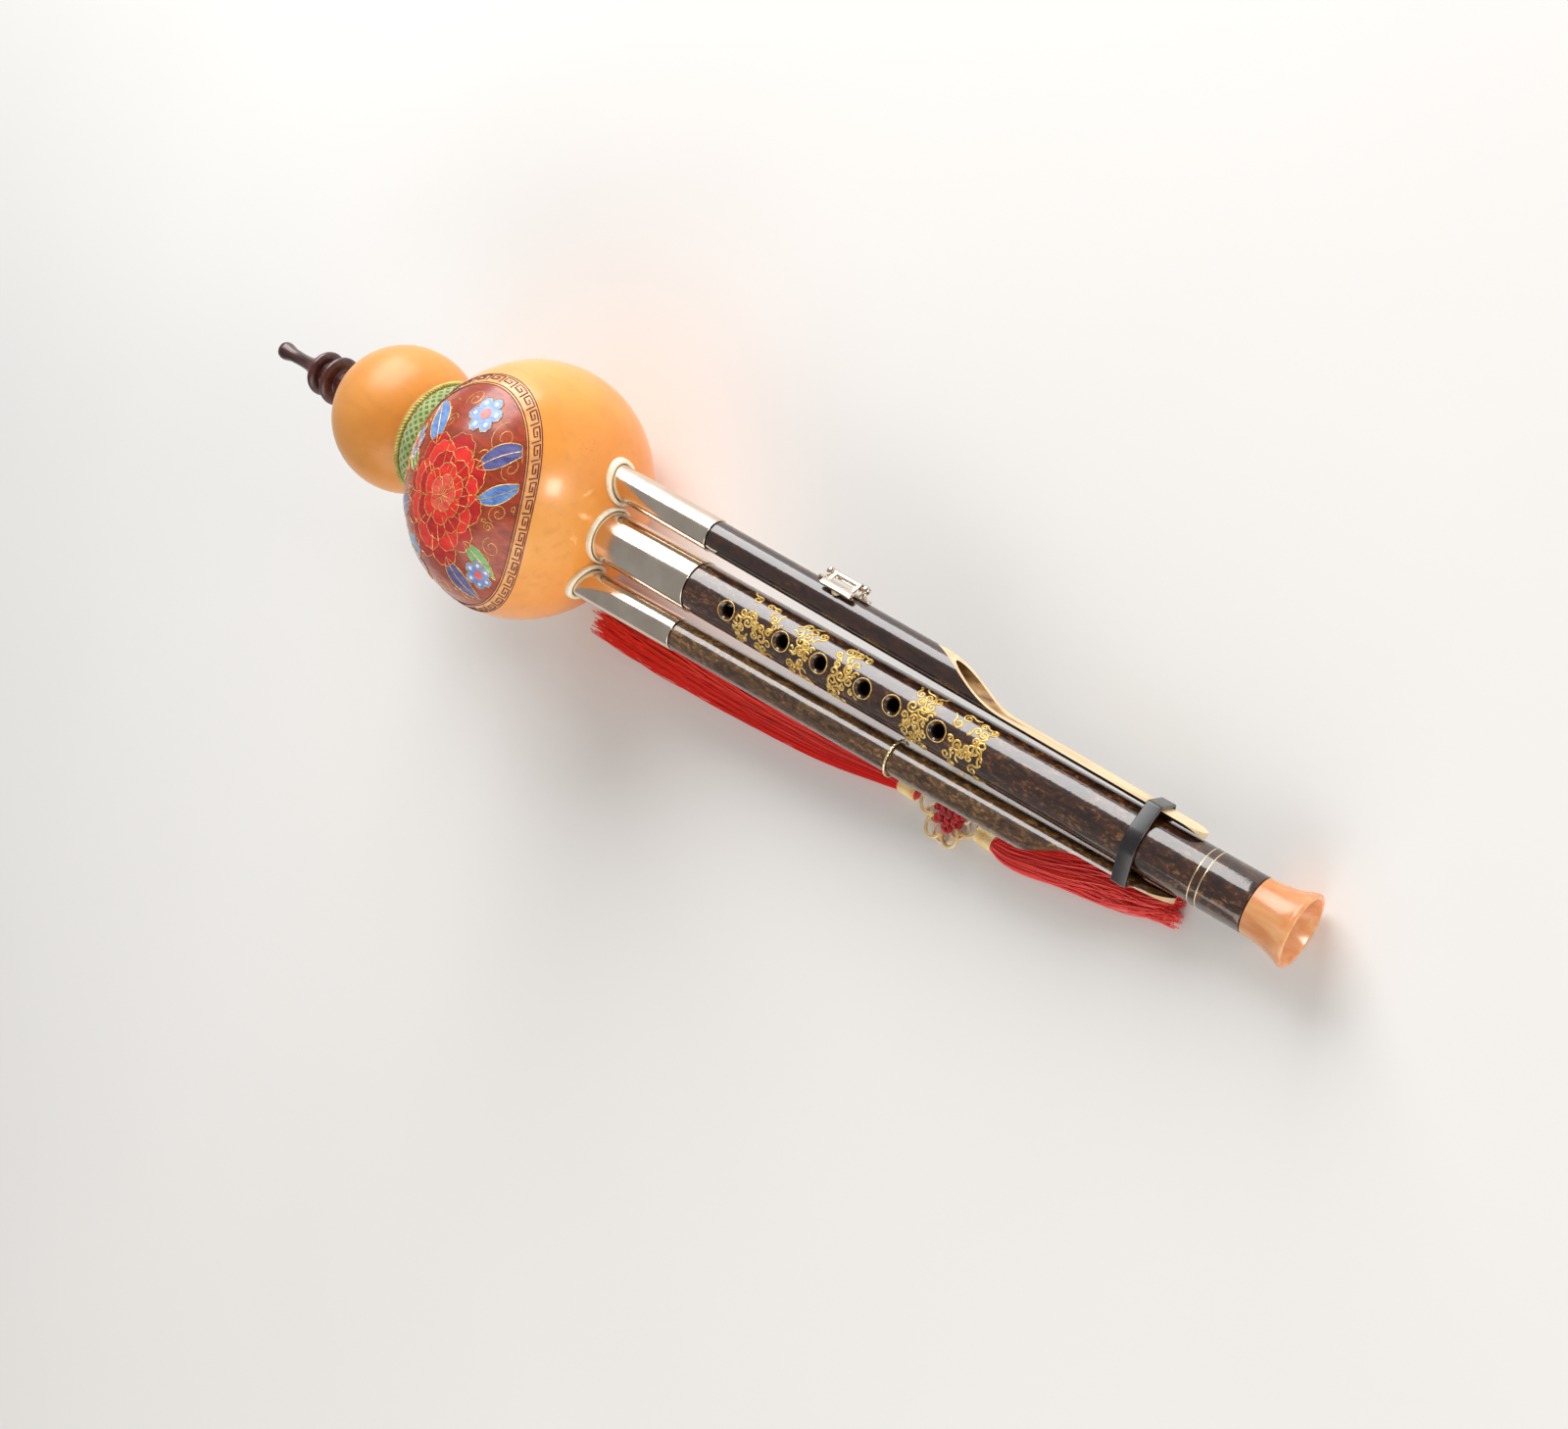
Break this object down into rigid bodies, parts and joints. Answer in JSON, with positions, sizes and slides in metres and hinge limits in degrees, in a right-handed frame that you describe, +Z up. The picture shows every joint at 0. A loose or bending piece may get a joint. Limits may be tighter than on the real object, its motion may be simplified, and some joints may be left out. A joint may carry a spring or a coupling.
{
  "type": "hulusi",
  "caption": "Gourd flute: a two-bulb gourd wind chest, a melody pipe with finger holes and a flared horn, drone pipes with cut quills, a drone key and a silk tassel.",
  "frame": {"origin": "on the surface that the instrument lies on, under the middle of its box", "axes": "+X along the pipes towards the horn, +Z up through the finger holes, +Y to the drone with the key"},
  "size_m": [0.4306, 0.0892, 0.0886],
  "materials": {
    "gourd": "glossy amber lacquer",
    "binding": "green silk ribbon",
    "gold_thread": "gold wrapped thread",
    "ivory": "polished cream",
    "nickel": "polished nickel plate",
    "pipe": "mottled dark brown, glossy",
    "horn": "polished amber horn",
    "rosewood": "polished rosewood",
    "brass": "drawn brass",
    "wire": "bright brass wire",
    "cork": "matte cork",
    "thread": "waxed thread",
    "leather": "dark smooth leather",
    "silk": "red silk floss"
  },
  "bodies": {
    "gourd": {"gourd_shell": "gourd", "waist_band": "binding", "waist_trim_neck_side": "gold_thread", "waist_trim_pipe_side": "gold_thread", "main_flange": "ivory", "main_ferrule": "nickel", "main_reed_tube": "brass", "main_reed": "brass", "main_reed_plug": "cork", "upper_flange": "ivory", "upper_ferrule": "nickel", "upper_reed_tube": "brass", "upper_reed": "brass", "upper_reed_plug": "cork", "lower_flange": "ivory", "lower_ferrule": "nickel", "lower_reed_tube": "brass", "lower_reed": "brass", "lower_reed_plug": "cork"},
    "mouthpiece": {"mouthpiece": "rosewood", "mouthpiece_cork": "cork"},
    "main_pipe": {"main_pipe": "pipe", "main_lapping": "thread"},
    "horn": {"horn": "horn"},
    "band": {"clamp_band": "leather"},
    "upper_drone": {"upper_drone_pipe": "pipe", "upper_lapping": "thread", "key_saddle": "nickel", "key_rod": "nickel"},
    "key": {"key_lever": "nickel", "key_pad": "leather"},
    "lower_drone": {"lower_drone_pipe": "pipe", "lower_lapping": "thread"},
    "tassel": {"wire_ring": "wire", "tassel_cord": "gold_thread", "tassel_knot": "silk", "tassel_head_left": "gold_thread", "tassel_head_right": "gold_thread", "tassel_strands_left": "silk", "tassel_strands_right": "silk"}
  },
  "joints": [
    {"name": "main_pipe_tuning", "type": "slide", "parent": "gourd", "child": "main_pipe", "axis": [0.9936, 0, -0.1131], "range_m": [0, 0.008]},
    {"name": "upper_drone_tuning", "type": "slide", "parent": "gourd", "child": "upper_drone", "axis": [0.9935, -0.0161, -0.1131], "range_m": [0, 0.008]},
    {"name": "lower_drone_tuning", "type": "slide", "parent": "gourd", "child": "lower_drone", "axis": [0.9935, 0.0161, -0.1131], "range_m": [0, 0.008]},
    {"name": "mouthpiece_pull", "type": "slide", "parent": "gourd", "child": "mouthpiece", "axis": [-0.9936, 0, 0.1131], "range_m": [0, 0.014]},
    {"name": "horn_pull", "type": "slide", "parent": "main_pipe", "child": "horn", "axis": [0.9936, 0, -0.1131], "range_m": [0, 0.012]},
    {"name": "band_slide", "type": "slide", "parent": "main_pipe", "child": "band", "axis": [0.9936, 0, -0.1131], "range_m": [0, 0.008]},
    {"name": "key_flip", "type": "hinge", "parent": "upper_drone", "child": "key", "pos_m": [0.04839, 0.02449, 0.0293], "axis": [-0.9935, 0.0161, 0.1131], "range_deg": [0, 70]},
    {"name": "tassel_swing", "type": "hinge", "parent": "lower_drone", "child": "tassel", "pos_m": [0.08624, -0.01553, 0.02529], "axis": [-0.9935, -0.0161, 0.1131], "range_deg": [0, 90]}
  ]
}
